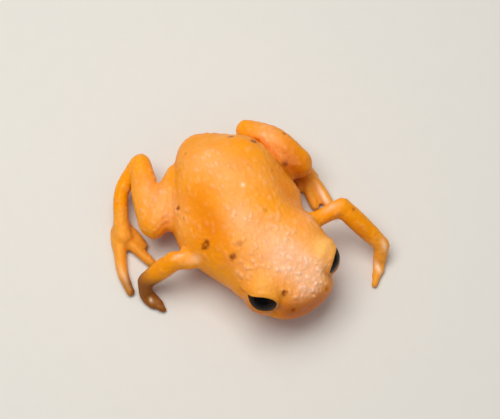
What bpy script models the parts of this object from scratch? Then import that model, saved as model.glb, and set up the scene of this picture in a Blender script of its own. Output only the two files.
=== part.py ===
"""A vargem alta flea toad, life size and still, crouching on the floor as if about to creep forwards.

The toad looks along -Y with its left side at +X, and the floor is the plane Z = 0.
Everything is worked out in millimetres and turned into metres at the very end.
The trunk and head are one loft along the back, parted at the neck. Each limb is a chain of tapered
lofts, parted at the plane that halves the angle of each joint, and cut clear of the trunk.
"""

import math

import bmesh
import bpy
import numpy as np
from mathutils import Matrix, Vector
from mathutils.bvhtree import BVHTree

METRES_PER_MILLIMETRE = 0.001
TINY = 1e-4

# Driving sizes, in millimetres
JOINT_GAP = 0.27  # clear space between two neighbouring parts
EYE_RADIUS = 1.05
EYE_CLEARANCE = 0.2
SOCKET_RADIUS = EYE_RADIUS + EYE_CLEARANCE
LID_THICKNESS = 0.1
MOUTH_OPENING = 0.15
MOUTH_SLAB_WIDTH = 8.0
MOUTH_SLAB_REACH = 1.0
MOUTH_DEPTH = 0.3
MOUTH_HEIGHT = 2.25  # at the front of the snout
MOUTH_DROOP = math.radians(3)  # the line falls towards its corners
MOUTH_LENGTH = 2.9  # from the front of the snout to the corners
SNOUT_REACH = 2.05  # from between the eyes to the tip of the snout
LIP_RADIUS = 0.17
LIP_RISE = 0.07  # how far the lips stand out
LIP_SPREAD = math.radians(82)  # to each side, seen from between the mouth's corners
NOSTRIL_RADIUS = 0.15
NOSTRIL_OUTWARD = 0.42  # where the nostrils are looked for, from between the eyes
NOSTRIL_HEIGHT = 3.42
NOSTRIL_SWELLING = 0.26
NOSTRIL_RISE = 0.05  # how far the swelling round a nostril stands out

# Sides and rings of the lofts
TRUNK_SIDES = 48
TRUNK_RINGS = 40
RING_CROWDING = 0.8  # how much closer the rings stand at the ends, from 0 to 1
LIMB_SIDES = 16
LIMB_RINGS = 9
DIGIT_SIDES = 10
DIGIT_RINGS = 6
CAP_RINGS = 3
SHARP_ANGLE = math.radians(55)
BALL_SIDES = 20
LIP_RINGS = 23

# Cross-sections from the vent to the tip of the snout: y, x of the middle, half-width,
# height of the widest line, rise above it, depth below it, squareness of the back and of the belly.
SECTIONS = [
    (6.55, 0.5, 1.9, 2.35, 0.95, 1.05, 2.4, 2.0),
    (5.8, 0.12, 2.55, 2.4, 1.6, 1.95, 2.4, 2.0),
    (4.7, -0.15, 3.05, 2.35, 2.55, 2.38, 2.4, 2.1),
    (3.4, -0.3, 3.62, 2.3, 3.1, 2.38, 2.3, 2.2),
    (1.8, -0.55, 4.05, 2.25, 3.3, 2.34, 2.2, 2.3),
    (0.3, -0.65, 4.15, 2.3, 3.25, 2.34, 2.2, 2.2),
    (-1.2, -0.4, 3.68, 2.5, 3.0, 2.1, 2.2, 2.1),
    (-2.4, -0.03, 3.32, 2.65, 2.65, 1.8, 2.4, 2.1),
    (-3.4, 0.2, 3.2, 2.65, 2.4, 1.5, 2.7, 2.1),
    (-4.5, 0.27, 2.85, 2.6, 2.15, 1.25, 3.0, 2.1),
    (-5.5, 0.4, 2.5, 2.55, 1.85, 1.0, 3.0, 2.1),
    (-6.65, 0.56, 2.3, 2.5, 1.5, 0.85, 2.4, 2.0),
]
# How the ends of the trunk close: length seen from above, length seen from the side, bluntness
RUMP_CLOSING = (1.3, 1.2, 3.0)
SNOUT_CLOSING = (2.0, 0.95, 2.7)
NECK = Vector((0.08, -2.55, 0.0))

# The head is turned to its left and leans that way. The lids open outwards, forwards and upwards.
HEAD_YAW = math.radians(8)
HEAD_MIDDLE = Vector((0.28, -4.62, 0.0))  # between the eyes
EYE_OUTWARD = 2.12
EYE_FORWARD = 0.0
EYE_HEIGHT = 3.52
EYE_TURN = math.radians(41)  # how far the opening is turned forwards
EYE_TILTS = {1: math.radians(35), -1: math.radians(47)}  # left, right
LID_HALF_LENGTH = 0.96
UPPER_LID_OPENING = 0.26
LOWER_LID_OPENING = 0.76
OPENING_REACH = (0.3, 3.0)  # where the cutter of a lid opening starts and ends, from the middle of the eye

# Soft rises and hollows of the back and head: centre, spread, height
RELIEF = [
    ((-3.2, 0.4, 4.3), (1.2, 1.9, 1.5), -0.42),  # hollow between the back and the right flank
    ((2.5, 0.3, 4.3), (1.2, 1.9, 1.5), -0.42),  # the same on the left
    ((-2.5, -1.9, 4.6), (0.9, 0.9, 1.0), 0.16),  # shoulder blades
    ((2.5, -1.9, 4.4), (0.8, 0.9, 1.0), 0.3),
    ((-1.7, 4.6, 5.0), (1.2, 1.3, 1.2), 0.22),  # hips
    ((1.4, 4.4, 5.0), (1.2, 1.3, 1.2), 0.22),
    ((-0.3, 2.6, 5.9), (1.0, 1.6, 1.0), 0.12),  # end of the backbone
    ((-4.6, 1.2, 2.6), (1.6, 2.0, 1.6), 0.15),  # full right flank
    ((3.4, 4.0, 3.1), (1.3, 1.7, 1.3), -0.35),  # left flank, pressed in by the leg
    ((0.0, -1.9, 5.6), (1.1, 0.9, 1.2), -0.16),  # nape
    ((2.3, -4.3, 4.1), (1.1, 1.15, 1.0), 0.26),  # rises under the lids
    ((-1.75, -4.9, 4.1), (1.1, 1.15, 1.0), 0.26),
    ((-3.1, -4.5, 2.7), (0.8, 1.2, 1.2), 0.3),  # right cheek
]

# Joints of the limbs, then how far the middle of each segment bows away from the straight line
SIDES = {"left": 1, "right": -1}
JOINTS = {
    "right": {
        "shoulder": (-3.0, -1.5, 2.4), "elbow": (-5.6, -0.25, 2.8), "wrist": (-7.6, 0.0, 1.05),
        "hip": (-1.85, 5.5, 2.3), "knee": (-5.75, 2.8, 2.35), "heel": (-4.75, 7.05, 2.0),
        "ankle": (-7.3, 4.4, 0.8),
    },
    "left": {
        "shoulder": (2.6, -1.5, 2.5), "elbow": (5.22, -1.52, 2.85), "wrist": (6.72, -4.3, 1.15),
        "hip": (0.95, 4.9, 2.3), "knee": (4.3, 2.6, 2.4), "heel": (2.45, 6.22, 2.05),
        "ankle": (4.7, 3.1, 0.75),
    },
}
# Segments: first joint, last joint, radius at the start, the middle and the end
SEGMENTS = {
    "upper_arm": ("shoulder", "elbow", 0.68, 0.54, 0.58),
    "forearm": ("elbow", "wrist", 0.6, 0.62, 0.5),
    "thigh": ("hip", "knee", 1.15, 1.2, 1.02),
    "shank": ("knee", "heel", 0.88, 0.92, 0.75),
    "tarsus": ("heel", "ankle", 0.66, 0.48, 0.5),
}
NEIGHBOURS = (
    ("upper_arm", "forearm"),
    ("forearm", "hand"),
    ("thigh", "shank"),
    ("shank", "tarsus"),
    ("tarsus", "foot"),
)
BOWS = {
    ("thigh", "left"): (0.0, -0.1, -0.35),
    ("thigh", "right"): (0.12, -0.12, 0.0),
    ("shank", "left"): (0.15, 0.1, 0.4),
    ("tarsus", "left"): (0.45, 0.3, -0.45),
    ("tarsus", "right"): (-0.4, 0.4, 0.0),
}

# Digits as seen from above: root, middle, tip, radius at the root and at the tip
HANDS = {
    "right": [
        ((-7.8, -0.7), (-7.6, -1.3), (-7.28, -1.88), 0.34, 0.2),
        ((-7.62, -0.65), (-7.42, -1.1), (-7.28, -1.52), 0.3, 0.22),
        ((-7.95, -0.7), (-7.9, -1.0), (-7.76, -1.36), 0.3, 0.22),
    ],
    "left": [
        ((6.2, -5.0), (5.8, -5.58), (5.3, -6.15), 0.32, 0.2),
        ((6.12, -4.95), (5.88, -5.32), (5.6, -5.62), 0.28, 0.2),
        ((6.34, -5.0), (6.22, -5.3), (6.04, -5.58), 0.28, 0.2),
    ],
}
PALMS = {"right": (-7.85, -0.5), "left": (6.3, -4.9)}
FEET = {
    "right": [
        ((-7.9, 3.4), (-8.53, 1.6), (-8.64, 0.08), 0.46, 0.27),
        ((-7.35, 3.3), (-7.0, 2.25), (-6.62, 1.2), 0.42, 0.3),
        ((-7.75, 4.2), (-8.02, 3.7), (-8.22, 3.1), 0.4, 0.3),
        ((-7.05, 3.95), (-6.78, 3.25), (-6.65, 2.6), 0.4, 0.3),
    ],
    "left": [
        ((4.95, 2.5), (5.2, 1.1), (5.25, -0.65), 0.44, 0.34),
        ((4.7, 2.5), (4.5, 1.4), (4.4, 0.3), 0.4, 0.3),
        ((5.0, 2.8), (5.2, 2.5), (5.32, 2.2), 0.36, 0.28),
        ((4.65, 2.7), (4.25, 2.2), (4.05, 1.85), 0.36, 0.28),
    ],
}
SOLES = {"right": (-7.55, 3.5), "left": (4.85, 2.45)}
PALM_RADIUS = 0.42
SOLE_RADIUS = 0.62
DIGIT_HEIGHT = 0.8  # of the middle of a digit, in its radii

COLOURS = {
    "orange skin": ((0.91, 0.28, 0.012, 1.0), 0.42),
    "yellow brown digits": ((0.62, 0.27, 0.035, 1.0), 0.38),
    "black eye": ((0.004, 0.004, 0.004, 1.0), 0.06),
}


def smooth_rows(rows, places):
    """Rows of numbers read from a smooth curve through the given rows. Places run from 0 to 1."""
    rows = np.array(rows, float)
    steps = np.asarray(places) * (len(rows) - 1)
    spans = np.minimum(steps.astype(int), len(rows) - 2)
    t = (steps - spans)[:, None]
    slopes = np.gradient(rows, axis=0)
    return (
        (2 * t**3 - 3 * t**2 + 1) * rows[spans]
        + (t**3 - 2 * t**2 + t) * slopes[spans]
        + (3 * t**2 - 2 * t**3) * rows[spans + 1]
        + (t**3 - t**2) * slopes[spans + 1]
    )


def object_from(name, mesh_data):
    """An object made of the given bmesh, which is freed."""
    bmesh.ops.recalc_face_normals(mesh_data, faces=mesh_data.faces[:])
    mesh = bpy.data.meshes.new(name)
    mesh_data.to_mesh(mesh)
    mesh_data.free()
    made = bpy.data.objects.new(name, mesh)
    bpy.context.scene.collection.objects.link(made)
    return made


def loft(name, rings, first_pole, last_pole):
    """A closed skin over rings of equal count, drawn together to a point at each end."""
    skin = bmesh.new()
    loops = [[skin.verts.new(point) for point in ring] for ring in rings]
    start, end = skin.verts.new(first_pole), skin.verts.new(last_pole)
    count = len(loops[0])
    for side in range(count):
        after = (side + 1) % count
        skin.faces.new((start, loops[0][side], loops[0][after]))
        skin.faces.new((end, loops[-1][after], loops[-1][side]))
        for ring, next_ring in zip(loops, loops[1:]):
            skin.faces.new((ring[side], next_ring[side], next_ring[after], ring[after]))
    return object_from(name, skin)


def closing(distance, length, bluntness):
    """Share of the full size left at a distance from an end that closes over the given length."""
    inside = max(0.0, 1 - distance / length)
    return (1 - inside**bluntness) ** (1 / bluntness)


def signed_power(value, power):
    return math.copysign(abs(value) ** power, value)


def ring_across(centre, forward, half_width, rise, depth, square_top, square_bottom):
    """A section of the trunk: a rounded outline with its own height and squareness above and below."""
    sideways = Vector((forward.y, -forward.x, 0.0)).normalized()
    points = []
    for side in range(TRUNK_SIDES):
        angle = 2 * math.pi * side / TRUNK_SIDES
        upper = math.sin(angle) >= 0
        power = 2 / (square_top if upper else square_bottom)
        height = (rise if upper else depth) * signed_power(math.sin(angle), power)
        width = half_width * signed_power(math.cos(angle), power)
        points.append(centre + sideways * width + Vector((0, 0, height)))
    return points


def shifted_along_normals(target, amount):
    """Move every point of an object out along its normal. The amount may depend on the point."""
    skin = bmesh.new()
    skin.from_mesh(target.data)
    skin.normal_update()
    for vertex, move in [(vertex, vertex.normal * amount(vertex.co)) for vertex in skin.verts]:
        vertex.co += move
    skin.to_mesh(target.data)
    skin.free()


def relief_at(point):
    total = 0.0
    for centre, spread, height in RELIEF:
        reach = sum(((point[axis] - centre[axis]) / spread[axis]) ** 2 for axis in range(3))
        total += height * math.exp(-reach)
    return total


def build_trunk():
    """The trunk and head in one piece, with rings set closer together at both ends."""
    even = np.linspace(0, 1, TRUNK_RINGS + 2)
    rows = smooth_rows(SECTIONS, even - RING_CROWDING * np.sin(2 * math.pi * even) / (2 * math.pi))
    centres = [Vector((row[1], row[0], row[3])) for row in rows]
    rings = []
    for index in range(1, len(rows) - 1):
        y, _, half_width, _, rise, depth, square_top, square_bottom = rows[index]
        width_left, height_left = 1.0, 1.0
        for distance, (wide, high, bluntness) in ((SECTIONS[0][0] - y, RUMP_CLOSING),
                                                  (y - SECTIONS[-1][0], SNOUT_CLOSING)):
            width_left *= closing(distance, wide, bluntness)
            height_left *= closing(distance, high, bluntness)
        forward = centres[index + 1] - centres[index - 1]
        rings.append(ring_across(centres[index], forward, half_width * width_left,
                                 rise * height_left, depth * height_left, square_top, square_bottom))
    trunk = loft("trunk", rings, centres[0], centres[-1])
    shifted_along_normals(trunk, relief_at)
    return trunk


def build_limb(name, rows, sides, rings):
    """A tapered limb with round ends. Rows are x, y, z of the middle line and the radius there."""
    rows = smooth_rows(rows, np.linspace(0, 1, rings))
    middles = [Vector(row[:3]) for row in rows]
    radii = [float(row[3]) for row in rows]
    forwards = [(middles[min(i + 1, rings - 1)] - middles[max(i - 1, 0)]).normalized() for i in range(rings)]
    cap = [math.pi / 2 * (step + 1) / (CAP_RINGS + 1) for step in range(CAP_RINGS)]
    start_pole, end_pole = forwards[0] * radii[0], forwards[-1] * radii[-1]
    stations = [(middles[0] - start_pole * math.cos(a), forwards[0], radii[0] * math.sin(a)) for a in cap]
    stations += list(zip(middles, forwards, radii))
    cap.reverse()
    stations += [(middles[-1] + end_pole * math.cos(a), forwards[-1], radii[-1] * math.sin(a)) for a in cap]
    circles = []
    for centre, forward, radius in stations:
        sideways = forward.cross(Vector((0, 0, 1))).normalized()
        upwards = sideways.cross(forward)
        angles = [2 * math.pi * side / sides for side in range(sides)]
        circles.append([centre + (sideways * math.cos(a) + upwards * math.sin(a)) * radius for a in angles])
    return loft(name, circles, middles[0] - start_pole, middles[-1] + end_pole)


def build_ball(name, centre, radius, sides=BALL_SIDES):
    skin = bmesh.new()
    bmesh.ops.create_uvsphere(skin, u_segments=sides, v_segments=sides // 2, radius=radius,
                              matrix=Matrix.Translation(centre))
    return object_from(name, skin)


def copy_of(source, name):
    made = bpy.data.objects.new(name, source.data.copy())
    bpy.context.scene.collection.objects.link(made)
    return made


def grown(source, amount):
    """A copy of an object with its surface moved out, or in where the amount is negative."""
    made = copy_of(source, source.name + " grown")
    shifted_along_normals(made, lambda point: amount)
    return made


def keep_side(target, point, normal):
    """Cut an object by a plane and keep the closed piece behind it."""
    skin = bmesh.new()
    skin.from_mesh(target.data)
    parts = skin.verts[:] + skin.edges[:] + skin.faces[:]
    bmesh.ops.bisect_plane(skin, geom=parts, dist=TINY, plane_co=point, plane_no=normal, clear_outer=True)
    bmesh.ops.holes_fill(skin, edges=[edge for edge in skin.edges if edge.is_boundary], sides=0)
    bmesh.ops.recalc_face_normals(skin, faces=skin.faces[:])
    skin.to_mesh(target.data)
    skin.free()


def keep_largest(target):
    """Drop all but the largest closed surface of an object."""
    skin = bmesh.new()
    skin.from_mesh(target.data)
    left = set(skin.verts)
    islands = []
    while left:
        island = {left.pop()}
        front = list(island)
        while front:
            for edge in front.pop().link_edges:
                for vertex in edge.verts:
                    if vertex not in island:
                        island.add(vertex)
                        front.append(vertex)
        left -= island
        islands.append(island)
    kept = max(islands, key=len)
    bmesh.ops.delete(skin, geom=[vertex for vertex in skin.verts if vertex not in kept], context="VERTS")
    bmesh.ops.dissolve_degenerate(skin, edges=skin.edges[:], dist=TINY)
    skin.to_mesh(target.data)
    skin.free()


def combine(target, others, operation):
    """Join other closed objects to an object, or cut them from it, and drop the others."""
    group = bpy.data.collections.new("operands")
    for other in others:
        group.objects.link(other)
    step = target.modifiers.new("combine", "BOOLEAN")
    step.operation = operation
    step.operand_type = "COLLECTION"
    step.collection = group
    step.solver = "EXACT"
    step.use_self = False
    bpy.context.view_layer.update()
    result = bpy.data.meshes.new_from_object(target.evaluated_get(bpy.context.evaluated_depsgraph_get()))
    target.modifiers.clear()
    target.data = result
    for other in others:
        bpy.data.objects.remove(other)
    bpy.data.collections.remove(group)
    keep_largest(target)


def head_vector(side, outward, forward, up):
    """A direction given from the head: side is 1 on the left and -1 on the right."""
    return Matrix.Rotation(HEAD_YAW, 3, "Z") @ Vector((side * outward, -forward, up))


def eye_middle(side):
    return HEAD_MIDDLE + head_vector(side, EYE_OUTWARD, EYE_FORWARD, EYE_HEIGHT)


def build_lid_opening(side):
    """The space in front of an eye: a tube with a nearly straight upper edge and a round lower one."""
    outward, forward = math.cos(EYE_TURN), math.sin(EYE_TURN)
    level, steep = math.cos(EYE_TILTS[side]), math.sin(EYE_TILTS[side])
    along = head_vector(side, -forward, outward, 0)
    look = head_vector(side, outward * level, forward * level, steep)
    up = head_vector(side, -outward * steep, -forward * steep, level)
    near, far = OPENING_REACH
    rings = []
    for distance in OPENING_REACH:
        ring = []
        for step in range(BALL_SIDES):
            angle = 2 * math.pi * step / BALL_SIDES
            opening = UPPER_LID_OPENING if math.sin(angle) > 0 else LOWER_LID_OPENING
            ring.append(eye_middle(side) + look * distance + along * LID_HALF_LENGTH * math.cos(angle)
                        + up * opening * math.sin(angle))
        rings.append(ring)
    poles = (eye_middle(side) + look * distance for distance in (near - TINY, far + TINY))
    return loft("lid opening", rings, *poles)


def mouth_level(forward):
    """Height of the mouth line at a distance in front of the eyes."""
    return MOUTH_HEIGHT - (SNOUT_REACH - forward) * math.tan(MOUTH_DROOP)


def surface_point(tree, origin, direction):
    """Where a line from inside the head comes out of its skin, with the skin's normal there."""
    hit, normal, _, _ = tree.ray_cast(origin, direction)
    if normal.dot(direction) < 0:
        normal = -normal
    return hit, normal


def build_lip(tree, offset):
    """A lip: a thin roll along the skin, above or below the line of the mouth."""
    start = HEAD_MIDDLE + head_vector(1, 0, SNOUT_REACH - MOUTH_LENGTH, MOUTH_HEIGHT + offset)
    rows = []
    for angle in np.linspace(-LIP_SPREAD, LIP_SPREAD, LIP_RINGS):
        hit, normal = surface_point(tree, start, head_vector(1, math.sin(angle), math.cos(angle), 0))
        hit.z = mouth_level((hit - HEAD_MIDDLE).dot(head_vector(1, 0, 1, 0))) + offset
        fading = LIP_RISE * 2 * (angle / LIP_SPREAD) ** 6
        sunk = hit - Vector((normal.x, normal.y, 0)).normalized() * (LIP_RADIUS - LIP_RISE + fading)
        rows.append((*sunk, LIP_RADIUS))
    return build_limb("lip", rows, DIGIT_SIDES, LIP_RINGS)


def build_mouth():
    """A flat slab in the plane of the mouth, reaching from its corners to well before the snout."""
    skin = bmesh.new()
    size = Matrix.Diagonal((MOUTH_SLAB_WIDTH, MOUTH_LENGTH + MOUTH_SLAB_REACH, MOUTH_OPENING, 1.0))
    front = HEAD_MIDDLE + head_vector(1, 0, SNOUT_REACH, MOUTH_HEIGHT)
    turn = Matrix.Rotation(HEAD_YAW, 4, "Z") @ Matrix.Rotation(-MOUTH_DROOP, 4, "X")
    middle = Matrix.Translation((0.0, (MOUTH_LENGTH - MOUTH_SLAB_REACH) / 2, 0.0))
    bmesh.ops.create_cube(skin, size=1.0, matrix=Matrix.Translation(front) @ turn @ middle @ size)
    return object_from("mouth", skin)


def finish_head(head):
    """Give the head lids, lips, nostrils, a mouth and sockets for the eyes."""
    skin = bmesh.new()
    skin.from_mesh(head.data)
    tree = BVHTree.FromBMesh(skin)
    skin.free()
    inner = grown(head, -MOUTH_DEPTH)
    lip_offset = MOUTH_OPENING / 2 + LIP_RADIUS * 0.8
    added = [build_lip(tree, lip_offset), build_lip(tree, -lip_offset)]
    pits = []
    for side in SIDES.values():
        added.append(build_ball("lid", eye_middle(side), SOCKET_RADIUS + LID_THICKNESS))
        start = HEAD_MIDDLE + head_vector(side, NOSTRIL_OUTWARD, 0, NOSTRIL_HEIGHT)
        hit, normal = surface_point(tree, start, head_vector(side, NOSTRIL_OUTWARD, 1, 0))
        crest = hit + normal * NOSTRIL_RISE
        added.append(build_ball("swelling", crest - normal * NOSTRIL_SWELLING, NOSTRIL_SWELLING, DIGIT_SIDES))
        pits.append(build_ball("nostril", crest, NOSTRIL_RADIUS, DIGIT_SIDES))
    combine(head, added, "UNION")
    mouth = build_mouth()
    combine(mouth, [inner], "DIFFERENCE")
    openings = [build_lid_opening(side) for side in SIDES.values()]
    sockets = [build_ball("socket", eye_middle(side), SOCKET_RADIUS) for side in SIDES.values()]
    combine(head, openings + sockets + pits + [mouth], "DIFFERENCE")


def part_at_joint(before, after, joint, arriving, leaving):
    """Part two segments at the plane that halves the angle of their joint."""
    across = (arriving + leaving).normalized()
    keep_side(before, joint - across * JOINT_GAP / 2, across)
    keep_side(after, joint + across * JOINT_GAP / 2, -across)


def middle_of(segment, side):
    """The middle of a segment's axis, bowed away from the straight line between its joints."""
    first, last = SEGMENTS[segment][:2]
    straight = (Vector(JOINTS[side][first]) + Vector(JOINTS[side][last])) / 2
    return straight + Vector(BOWS.get((segment, side), (0, 0, 0)))


def build_segments(side):
    """The five long segments of the limbs of one side, not yet parted."""
    made = {}
    for name, (first, last, start_radius, middle_radius, end_radius) in SEGMENTS.items():
        rows = [(*JOINTS[side][first], start_radius), (*middle_of(name, side), middle_radius),
                (*JOINTS[side][last], end_radius)]
        made[name] = build_limb(f"{name}_{side}", rows, LIMB_SIDES, LIMB_RINGS)
    return made


def build_paw(name, joint, joint_radius, pad, pad_radius, digits):
    """A hand or foot: a pad that leads down from the last joint, with digits lying on the floor."""
    halfway = (joint + pad) / 2
    rows = [(*joint, joint_radius), (*halfway, (joint_radius + pad_radius) / 2), (*pad, pad_radius)]
    paw = build_limb(name, rows, LIMB_SIDES, DIGIT_RINGS)
    toes = []
    for root, middle, tip, root_radius, tip_radius in digits:
        radii = (root_radius, (root_radius + tip_radius) / 2, tip_radius)
        rows = [(*place, radius * DIGIT_HEIGHT, radius) for place, radius in zip((root, middle, tip), radii)]
        toes.append(build_limb("digit", rows, DIGIT_SIDES, DIGIT_RINGS))
    combine(paw, toes, "UNION")
    return paw


def build_side(side, trunk_margin):
    """All limbs of one side, parted at their joints and clear of the trunk."""
    joints = {name: Vector(place) for name, place in JOINTS[side].items()}
    made = build_segments(side)
    ends = {}
    for name, before, place, radius, digits in (("hand", "forearm", PALMS[side], PALM_RADIUS, HANDS[side]),
                                                ("foot", "tarsus", SOLES[side], SOLE_RADIUS, FEET[side])):
        ends[name] = Vector((*place, radius * DIGIT_HEIGHT))
        joint, joint_radius = joints[SEGMENTS[before][1]], SEGMENTS[before][-1]
        made[name] = build_paw(f"{name}_{side}", joint, joint_radius, ends[name], radius, digits)
    for before, after in NEIGHBOURS:
        joint = joints[SEGMENTS[before][1]]
        beyond = ends[after] if after in ends else middle_of(after, side)
        arriving = (joint - middle_of(before, side)).normalized()
        part_at_joint(made[before], made[after], joint, arriving, (beyond - joint).normalized())
    for name in SEGMENTS:
        combine(made[name], [copy_of(trunk_margin, "margin")], "DIFFERENCE")
    return list(made.values())


def build_material(part_name, finish):
    """A material for one part, in the colour and roughness of its finish."""
    colour, roughness = COLOURS[finish]
    material = bpy.data.materials.new(f"{part_name} {finish}")
    material.use_nodes = True
    shader = material.node_tree.nodes["Principled BSDF"]
    shader.inputs["Base Color"].default_value = colour
    shader.inputs["Roughness"].default_value = roughness
    material.diffuse_color = colour
    return material


def settle(parts):
    """Centre the toad over the origin, standing on the floor, and turn millimetres into metres."""
    points = np.array([vertex.co for part in parts for vertex in part.data.vertices])
    low, high = points.min(axis=0), points.max(axis=0)
    shift = Matrix.Translation((-(low[0] + high[0]) / 2, -(low[1] + high[1]) / 2, -low[2]))
    for part in parts:
        part.data.transform(Matrix.Scale(METRES_PER_MILLIMETRE, 4) @ shift)


def main():
    for old in list(bpy.data.objects):
        bpy.data.objects.remove(old)
    trunk = build_trunk()
    margin = grown(trunk, JOINT_GAP)
    head = copy_of(trunk, "head")
    spine = head_vector(1, 0, 1, 0)
    keep_side(trunk, NECK - spine * JOINT_GAP / 2, spine)
    keep_side(head, NECK + spine * JOINT_GAP / 2, -spine)
    trunk.name = "torso"
    finish_head(head)
    eyes = [build_ball(f"eye_{name}", eye_middle(side), EYE_RADIUS) for name, side in SIDES.items()]
    limbs = [part for side in SIDES for part in build_side(side, margin)]
    bpy.data.objects.remove(margin)
    fleshy = [trunk, head] + limbs
    for part in fleshy:
        keep_side(part, Vector((0, 0, 0)), Vector((0, 0, -1)))
        keep_largest(part)
    for part in fleshy + eyes:
        if part in eyes:
            finish = "black eye"
        elif part.name.startswith(("hand", "foot")):
            finish = "yellow brown digits"
        else:
            finish = "orange skin"
        part.data.materials.clear()
        part.data.materials.append(build_material(part.name, finish))
        part.data.shade_smooth()
        part.data.set_sharp_from_angle(angle=SHARP_ANGLE)
        part.data.name = part.name
    settle(fleshy + eyes)


if __name__ == "__main__":
    main()
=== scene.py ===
"""The looks of a vargem alta flea toad: one moist skin over its flesh, wet black eyes, and a plain studio.

Shapes are worked out in millimetres from the toad's own middle: it looks along -Y, its left is +X
and the floor is Z = 0. Each finished piece is turned back into metres in the frame of the solids.
"""

import math

import bmesh
import bpy
import numpy as np
from mathutils import Matrix, Vector
from mathutils.bvhtree import BVHTree


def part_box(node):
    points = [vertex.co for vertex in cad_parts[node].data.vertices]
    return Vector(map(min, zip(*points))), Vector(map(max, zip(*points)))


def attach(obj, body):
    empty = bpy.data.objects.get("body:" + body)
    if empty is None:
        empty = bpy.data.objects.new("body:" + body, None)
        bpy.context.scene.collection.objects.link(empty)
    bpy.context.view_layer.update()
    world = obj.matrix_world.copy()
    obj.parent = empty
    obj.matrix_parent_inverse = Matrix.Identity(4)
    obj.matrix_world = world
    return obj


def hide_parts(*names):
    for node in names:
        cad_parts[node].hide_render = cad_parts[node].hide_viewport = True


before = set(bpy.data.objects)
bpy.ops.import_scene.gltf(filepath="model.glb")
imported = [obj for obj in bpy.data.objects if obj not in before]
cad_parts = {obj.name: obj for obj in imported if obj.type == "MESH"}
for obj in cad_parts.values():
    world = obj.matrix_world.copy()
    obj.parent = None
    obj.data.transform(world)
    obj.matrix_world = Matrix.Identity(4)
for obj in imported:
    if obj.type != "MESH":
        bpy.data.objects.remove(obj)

bl_info = {
    "name": "Vargem Alta Flea Toad",
    "version": (1, 0, 0),
    "blender": (4, 5, 0),
    "location": "View3D > Sidebar > Toad",
    "description": "Skin, eyes and studio for a life-size flea toad",
    "category": "Object",
}

MILLIMETRES = 1000.0
BODY = "root"
EYES = ("eye_left", "eye_right")
SIDES = {"eye_left": 1, "eye_right": -1}
DIGITS = ("hand_left", "hand_right", "foot_left", "foot_right")
# The solids that the skin is first drawn over, rounding the gaps between them
CORE = ("torso", "head", "upper_arm_left", "upper_arm_right", "thigh_left", "thigh_right")
NECK = ("torso", "head")
# The joints of the limbs, from the trunk outwards
LIMB_JOINTS = [(f"{before}_{side}", f"{after}_{side}")
               for side in ("left", "right")
               for before, after in (("upper_arm", "forearm"), ("forearm", "hand"), ("thigh", "shank"),
                                     ("shank", "tarsus"), ("tarsus", "foot"))]

# Lengths and places down to the lights are in millimetres, from the toad's own middle

# Points of one solid closer than this are one point, and nothing is divided by less
WELD = 1e-4
# How near two solids face each other at a joint, and how far from its plane the rims of their ends lie
JOINT_REACH = 0.36
RIM_DEPTH = 0.21
# How far the rims lie from the joint's middle, as a share of the farthest point found between the ends
RIM_REACH = 1.3
# Where the arms and the right thigh run into the trunk: place, spread, strength
BLENDS = [
    ((-4.0, -1.1, 2.8), (0.7, 0.9, 1.0), 1.0),
    ((3.6, -1.4, 2.9), (0.7, 0.9, 1.0), 1.0),
    ((-3.6, 4.2, 2.6), (0.5, 0.8, 0.8), 0.5),
]
# Where the left foot lies close under the thigh: place, spread, and how far each is kept off the other
LEG_GAP = ((4.5, 3.0, 1.31), (0.7, 0.9, 0.5), 0.08)

# Steps of one round of smoothing: in and out again, which keeps the size, or only in
IN_AND_OUT = (0.5, -0.52)
IN_ONLY = (0.5,)
# Rounds of smoothing: over all the skin, in the blends, in the ring round each eye, over all the refined
# skin, and at the lids after each time that they are shaped
SKIN_ROUNDS = 12
BLEND_ROUNDS = 30
EYE_RING_ROUNDS = 6
REFINED_ROUNDS = 3
LID_ROUNDS = (6, 4, 1)

# Where the point between the eyes lies, on the floor
BETWEEN_EYES = Vector((0.28, -4.62, 0.0))
# The way the lids open: how far it is turned forwards, and upwards
EYE_TURN = math.radians(41)
EYE_TILT = {"eye_left": math.radians(35), "eye_right": math.radians(47)}
# How thickly flesh covers an eye before its lids are shaped
EYE_COVER = 0.12
# Distances from an eye's middle: the ring that is smoothed, what is refined, and where the lids fade out
EYE_RING = (1.2, 2.0)
EYE_REGION = 1.6
LID_END = (1.35, 1.75)
# Distances from the edge of the lids: what is refined, and where their shape fades out
LID_REGION = 0.3
LID_FADE = (0.3, 0.85)
# The lids' opening: how far its front end droops, by what share its upper edge may fall at the back and
# rise at the front, how full its outline is, with 2 for an ellipse, and how much fuller in front
LID_BEND = 0.22
UPPER_LID_CHANGE = (-0.6, 1.0)
OPENING_FULLNESS = 2
FRONT_FULLNESS = 0.4
# The largest share of the eye's radius that the opening reaches from its axis
OPENING_LIMIT = 0.99
# A lid: how far from its edge it is rounded off, how steeply it rises on, and its crease's place and width
LID_ROUNDING = 0.05
LID_SLOPE = 0.12
CREASE_PLACE = 0.42
CREASE_WIDTH = 0.08
# How steeply and how deep the skin dips behind the eye's surface inside the opening
TUCK_SLOPE = 1.6
TUCK_DEPTH = 0.2
# The longest edge at the lids, in faces of the skin
LONGEST_LID_EDGE = 0.5

# Mouth line: height at the snout, fall towards the corners, and reach before and behind the eyes
MOUTH_HEIGHT = 2.25
MOUTH_DROOP = math.radians(3)
SNOUT_REACH = 2.05
MOUTH_BACK = -0.85
HEAD_HALF_WIDTH = 3.4
# Where the line starts at its corners, and how far above, below and behind them the skin is refined
MOUTH_START = (-0.05, 0.35)
MOUTH_REGION = 0.35
MOUTH_REGION_BACK = -0.25
# Nostrils: places, size of the pit, and radius, width and height of its rim
NOSTRILS = [(1.7, -6.25, 3.42), (-0.64, -6.58, 3.42)]
NOSTRIL_PIT = 0.12
NOSTRIL_RIM = 0.22
NOSTRIL_RIM_WIDTH = 0.1
NOSTRIL_RIM_HEIGHT = 0.02

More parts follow.
